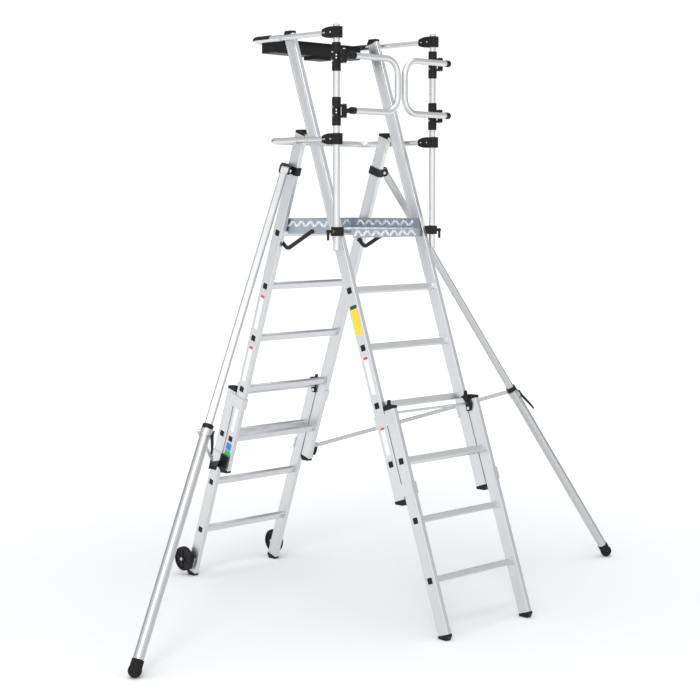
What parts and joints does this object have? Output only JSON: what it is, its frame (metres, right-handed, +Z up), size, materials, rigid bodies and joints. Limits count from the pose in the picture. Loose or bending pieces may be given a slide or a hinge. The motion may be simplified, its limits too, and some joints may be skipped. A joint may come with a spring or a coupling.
{
  "type": "platform stepladder with guardrail and stabilisers",
  "caption": "Folding aluminium work platform: two telescopic ladders joined by a hinge, tread deck, guardrail with swing gates, tool tray, wheels and folding stabiliser legs.",
  "frame": {"origin": "middle of the footprint, on the floor", "axes": "+X across the ladder towards the user's right, +Y from the climbing side to the rear, +Z up"},
  "size_m": [3.34, 1.9266, 2.799],
  "materials": {
    "aluminium": "satin anodised extrusion",
    "tread_plate": "bright five-bar tread plate",
    "zinc_steel": "zinc plated",
    "black_steel": "black powder coat",
    "black_plastic": "moulded, semi matt",
    "tray_plastic": "moulded, fine texture",
    "grey_plastic": "moulded",
    "wheel_black": "moulded solid wheel",
    "rubber": "matt"
  },
  "bodies": {
    "main": {"front_upper_stiles": "aluminium", "front_upper_rungs": "aluminium", "front_upper_caps": "black_plastic", "front_upper_guides": "aluminium", "hinge_front_leaves": "zinc_steel", "guard_posts": "aluminium", "post_end_plugs": "grey_plastic", "rail_connectors": "black_plastic", "rail_side_tubes": "aluminium", "top_u_rail": "aluminium", "lower_u_rail": "aluminium", "frame_bolts": "zinc_steel", "gate_collars": "black_plastic", "post_clamps": "black_plastic", "tool_tray": "tray_plastic"},
    "front_lower": {"front_lower_stiles": "aluminium", "front_lower_rungs": "aluminium", "front_lower_caps": "black_plastic", "front_lower_guides": "aluminium"},
    "front_lock": {"front_lock_hooks": "black_plastic", "front_lock_bar": "aluminium"},
    "rear_upper": {"rear_upper_stiles": "aluminium", "rear_upper_rungs": "aluminium", "rear_upper_caps": "black_plastic", "rear_upper_guides": "aluminium", "hinge_rear_leaves": "zinc_steel", "stabiliser_mounts": "black_steel", "rear_bolts": "zinc_steel"},
    "rear_lower": {"rear_lower_stiles": "aluminium", "rear_lower_rungs": "aluminium", "rear_lower_caps": "black_plastic", "rear_lower_guides": "aluminium", "wheel_brackets": "zinc_steel"},
    "rear_lock": {"rear_lock_hooks": "black_plastic", "rear_lock_bar": "aluminium"},
    "wheel_l": {"wheel_left": "wheel_black"},
    "wheel_r": {"wheel_right": "wheel_black"},
    "platform": {"platform_deck": "tread_plate", "toe_boards": "tread_plate"},
    "links": {"platform_links": "black_steel"},
    "gate_l": {"gate_loop_left": "aluminium", "gate_neck_left": "black_plastic"},
    "gate_r": {"gate_loop_right": "aluminium", "gate_neck_right": "black_plastic"},
    "lever_l": {"t_lever_left": "black_plastic"},
    "lever_r": {"t_lever_right": "black_plastic"},
    "stab_upper_l": {"stabiliser_inner_left": "aluminium"},
    "stab_lower_l": {"stabiliser_outer_left": "aluminium", "stabiliser_sleeve_left": "black_plastic", "stabiliser_collar_left": "aluminium", "stabiliser_foot_left": "rubber"},
    "strut_l": {"stabiliser_strut_left": "aluminium"},
    "cam_l": {"cam_lever_left": "black_plastic"},
    "stab_upper_r": {"stabiliser_inner_right": "aluminium"},
    "stab_lower_r": {"stabiliser_outer_right": "aluminium", "stabiliser_sleeve_right": "black_plastic", "stabiliser_collar_right": "aluminium", "stabiliser_foot_right": "rubber"},
    "strut_r": {"stabiliser_strut_right": "aluminium"},
    "cam_r": {"cam_lever_right": "black_plastic"}
  },
  "joints": [
    {"name": "front_section_slide", "type": "slide", "parent": "main", "child": "front_lower", "axis": [0, 0.3256, 0.9455], "range_m": [0, 0.56]},
    {"name": "rear_fold", "type": "hinge", "parent": "main", "child": "rear_upper", "pos_m": [0, -0.03072, 2.288], "axis": [-1, 0, 0], "range_deg": [0, 38]},
    {"name": "rear_section_slide", "type": "slide", "parent": "rear_upper", "child": "rear_lower", "axis": [0, -0.3256, 0.9455], "range_m": [0, 0.56]},
    {"name": "front_lock_swing", "type": "hinge", "parent": "front_lower", "child": "front_lock", "pos_m": [0, -0.57969, 0.97442], "axis": [-1, 0, 0], "range_deg": [0, 20]},
    {"name": "rear_lock_swing", "type": "hinge", "parent": "rear_lower", "child": "rear_lock", "pos_m": [0, 0.51824, 0.97442], "axis": [1, 0, 0], "range_deg": [0, 20]},
    {"name": "platform_fold", "type": "hinge", "parent": "main", "child": "platform", "pos_m": [0, -0.23072, 1.822], "axis": [1, 0, 0], "range_deg": [0, 56.94]},
    {"name": "link_swing", "type": "hinge", "parent": "rear_upper", "child": "links", "pos_m": [0, 0.18628, 1.79], "axis": [-1, 0, 0], "range_deg": [0, 48.99]},
    {"name": "gate_left_swing", "type": "hinge", "parent": "main", "child": "gate_l", "pos_m": [-0.3317, -0.32572, 2.522], "axis": [0, 0, 1], "range_deg": [0, 85], "stiffness_Nm_per_rad": 0.6, "springref_deg": -20.05},
    {"name": "gate_right_swing", "type": "hinge", "parent": "main", "child": "gate_r", "pos_m": [0.3317, -0.32572, 2.522], "axis": [0, 0, -1], "range_deg": [0, 85], "stiffness_Nm_per_rad": 0.6, "springref_deg": -20.05},
    {"name": "lever_left_turn", "type": "hinge", "parent": "main", "child": "lever_l", "pos_m": [-0.3317, -0.27442, 1.837], "axis": [1, 0, 0], "range_deg": [0, 180]},
    {"name": "lever_right_turn", "type": "hinge", "parent": "main", "child": "lever_r", "pos_m": [0.3317, -0.27442, 1.837], "axis": [1, 0, 0], "range_deg": [0, 180]},
    {"name": "wheel_left_spin", "type": "hinge", "parent": "rear_lower", "child": "wheel_l", "pos_m": [-0.322, 0.89928, 0.088], "axis": [1, 0, 0], "continuous": true},
    {"name": "wheel_right_spin", "type": "hinge", "parent": "rear_lower", "child": "wheel_r", "pos_m": [0.322, 0.89928, 0.088], "axis": [1, 0, 0], "continuous": true},
    {"name": "stabiliser_right_fold", "type": "hinge", "parent": "rear_upper", "child": "stab_upper_r", "pos_m": [0.345, 0.06958, 2.13], "axis": [0.66, 0.7103, 0.2446], "range_deg": [0, 43.3]},
    {"name": "stabiliser_right_slide", "type": "slide", "parent": "stab_upper_r", "child": "stab_lower_r", "axis": [-0.5152, 0.1911, 0.8355], "range_m": [0, 0.95196]},
    {"name": "strut_right_fold", "type": "hinge", "parent": "rear_upper", "child": "strut_r", "pos_m": [0.36744, 0.60487, 0.65385], "axis": [-0.66, -0.7103, -0.2446], "range_deg": [0, 60.75]},
    {"name": "cam_right_open", "type": "hinge", "parent": "stab_lower_r", "child": "cam_r", "pos_m": [1.07126, -0.24123, 0.95413], "axis": [-0.8533, -0.0232, -0.5209], "range_deg": [0, 100]},
    {"name": "stabiliser_left_fold", "type": "hinge", "parent": "rear_upper", "child": "stab_upper_l", "pos_m": [-0.345, 0.06958, 2.13], "axis": [0.66, -0.7103, -0.2446], "range_deg": [0, 43.3]},
    {"name": "stabiliser_left_slide", "type": "slide", "parent": "stab_upper_l", "child": "stab_lower_l", "axis": [0.5152, 0.1911, 0.8355], "range_m": [0, 0.95196]},
    {"name": "strut_left_fold", "type": "hinge", "parent": "rear_upper", "child": "strut_l", "pos_m": [-0.36744, 0.60487, 0.65385], "axis": [-0.66, 0.7103, 0.2446], "range_deg": [0, 60.75]},
    {"name": "cam_left_open", "type": "hinge", "parent": "stab_lower_l", "child": "cam_l", "pos_m": [-1.07126, -0.24123, 0.95413], "axis": [-0.8533, 0.0232, 0.5209], "range_deg": [0, 100]}
  ],
  "couplings": [
    {"joint": "platform_fold", "follows": "rear_fold", "ratio": 1.4985},
    {"joint": "link_swing", "follows": "rear_fold", "ratio": 1.2891},
    {"joint": "stabiliser_right_slide", "follows": "stabiliser_right_fold", "m_per_rad": 1.2596},
    {"joint": "strut_right_fold", "follows": "stabiliser_right_fold", "ratio": 1.4029},
    {"joint": "stabiliser_left_slide", "follows": "stabiliser_left_fold", "m_per_rad": 1.2596},
    {"joint": "strut_left_fold", "follows": "stabiliser_left_fold", "ratio": 1.4029}
  ]
}
